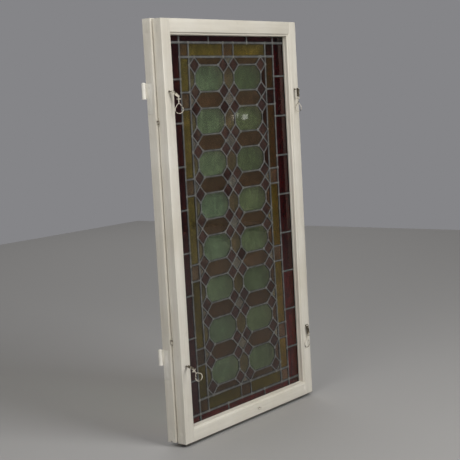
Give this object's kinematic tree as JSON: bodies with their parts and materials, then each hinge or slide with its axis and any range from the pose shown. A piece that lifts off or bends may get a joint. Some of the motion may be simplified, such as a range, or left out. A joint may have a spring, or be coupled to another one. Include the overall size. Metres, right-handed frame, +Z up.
{
  "type": "stained glass casement window",
  "caption": "Coupled wooden casement: an inner sash with a leaded glass panel of octagons, hexagons and diamonds, an outer sash with a clear pane, lift-off hinges.",
  "frame": {"origin": "middle of the outer sash's left edge face, the edge that carries the lift-off hinges: at mid-height and mid-thickness", "axes": "+Z up; +X to the right seen from the room, across the window's width; -Y into the room, +Y outdoors"},
  "size_m": [0.6969, 0.1468, 1.234],
  "materials": {
    "painted_wood": "old cream oil paint, brushed",
    "putty": "linseed putty under cream paint",
    "clear_glass": "old clear sheet glass",
    "green_glass": "streaky cathedral glass",
    "yellow_glass": "streaky cathedral glass",
    "lead_came": "dull oxidised lead",
    "painted_iron": "iron under cream paint",
    "steel_wire": "dull steel wire with traces of paint"
  },
  "bodies": {
    "outer_sash": {"outer_stile_left": "painted_wood", "outer_stile_right": "painted_wood", "outer_rail_top": "painted_wood", "outer_rail_bottom": "painted_wood", "outer_pane": "clear_glass", "outer_putty_left": "putty", "outer_putty_right": "putty", "outer_putty_top": "putty", "outer_putty_bottom": "putty", "main_hinge_upper": "painted_iron", "main_hinge_lower": "painted_iron", "coupling_hinge_upper_outer": "painted_iron", "coupling_hinge_lower_outer": "painted_iron"},
    "inner_sash": {"inner_stile_left": "painted_wood", "inner_stile_right": "painted_wood", "inner_rail_top": "painted_wood", "inner_rail_bottom": "painted_wood", "inner_bead_left": "painted_wood", "inner_bead_right": "painted_wood", "inner_bead_top": "painted_wood", "inner_bead_bottom": "painted_wood", "came_net": "lead_came", "quarry_octagon_r1_c1": "green_glass", "quarry_octagon_r1_c2": "green_glass", "quarry_octagon_r2_c1": "green_glass", "quarry_octagon_r2_c2": "green_glass", "quarry_octagon_r3_c1": "green_glass", "quarry_octagon_r3_c2": "green_glass", "quarry_octagon_r4_c1": "green_glass", "quarry_octagon_r4_c2": "green_glass", "quarry_octagon_r5_c1": "green_glass", "quarry_octagon_r5_c2": "green_glass", "quarry_octagon_r6_c1": "green_glass", "quarry_octagon_r6_c2": "green_glass", "quarry_octagon_r7_c1": "green_glass", "quarry_octagon_r7_c2": "green_glass", "quarry_octagon_r8_c1": "green_glass", "quarry_octagon_r8_c2": "green_glass", "quarry_strip_left_1": "yellow_glass", "quarry_strip_left_2": "yellow_glass", "quarry_strip_left_3": "yellow_glass", "quarry_strip_right_1": "yellow_glass", "quarry_strip_right_2": "yellow_glass", "quarry_strip_right_3": "yellow_glass", "coupling_hinge_upper_inner": "painted_iron", "coupling_hinge_lower_inner": "painted_iron", "hook_upper_left_eye": "steel_wire", "hook_upper_left_link": "steel_wire", "hook_upper_left_loop": "steel_wire", "hook_lower_left_eye": "steel_wire", "hook_lower_left_link": "steel_wire", "hook_lower_left_loop": "steel_wire", "hook_upper_right_eye": "steel_wire", "hook_upper_right_link": "steel_wire", "hook_upper_right_loop": "steel_wire", "hook_lower_right_eye": "steel_wire", "hook_lower_right_link": "steel_wire", "hook_lower_right_loop": "steel_wire", "rail_stud": "painted_iron"}
  },
  "joints": [
    {"name": "coupling_hinge", "type": "hinge", "parent": "outer_sash", "child": "inner_sash", "pos_m": [0.0047, -0.0178, 0], "axis": [0, 0, -1], "range_deg": [0, 110]}
  ]
}
